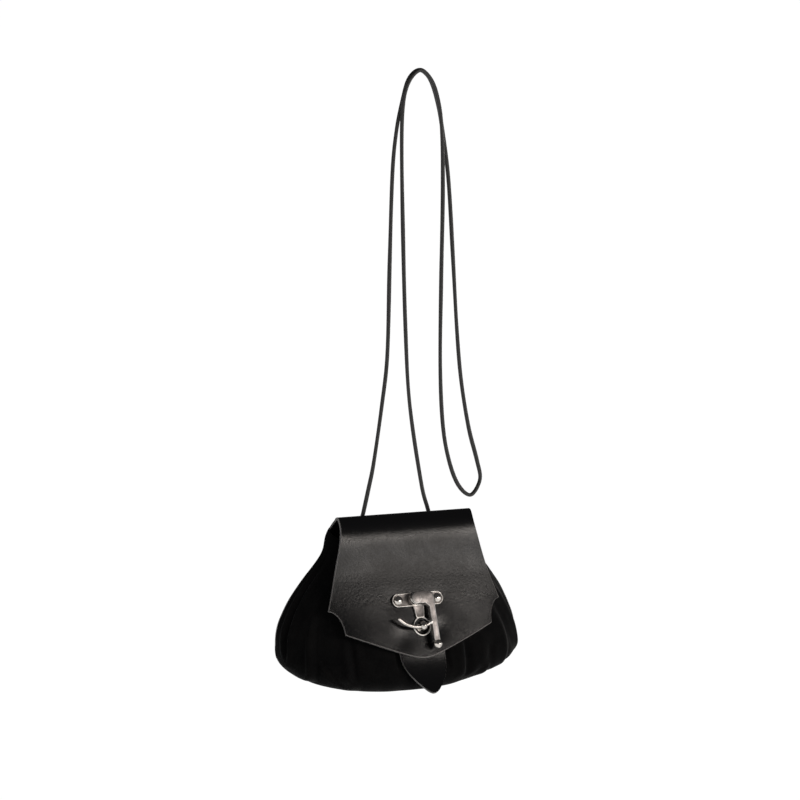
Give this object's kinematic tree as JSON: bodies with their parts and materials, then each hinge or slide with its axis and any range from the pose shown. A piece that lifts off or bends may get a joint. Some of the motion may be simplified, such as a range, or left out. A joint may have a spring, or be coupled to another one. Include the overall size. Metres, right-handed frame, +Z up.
{
  "type": "belt bag",
  "caption": "Small black leather bag with a folded flap, a gathered suede pouch, a tongue with a stud, a metal swing clasp and a long thin cord that it hangs by.",
  "frame": {"origin": "the point under the cord's highest bend, where the bag hangs", "axes": "+X to the right as seen from the front, +Y towards the back panel, the front faces -Y, +Z up"},
  "size_m": [0.2176, 0.0734, 0.5007],
  "materials": {
    "smooth_leather": "black smooth leather with a soft satin shine",
    "suede": "black suede, matte nap",
    "antique_metal": "antique nickel, satin with bright edges",
    "polished_metal": "antique nickel, polished",
    "leather_lace": "dark grey leather lace, dull"
  },
  "bodies": {
    "bag": {"flap_back": "smooth_leather", "suede_pouch": "suede", "tongue": "smooth_leather", "belt_loop": "smooth_leather", "clasp_plate": "antique_metal", "rivet_left": "polished_metal", "rivet_right": "polished_metal", "pivot_pin": "antique_metal", "stud": "polished_metal", "strap_cord": "leather_lace", "knot_left": "leather_lace", "knot_right": "leather_lace"},
    "lever": {"lever": "antique_metal"}
  },
  "joints": [
    {"name": "lever_swing", "type": "hinge", "parent": "bag", "child": "lever", "pos_m": [-0.018, -0.02025, -0.4228], "axis": [0, -0.9488, 0.3159], "range_deg": [0, 75]}
  ]
}
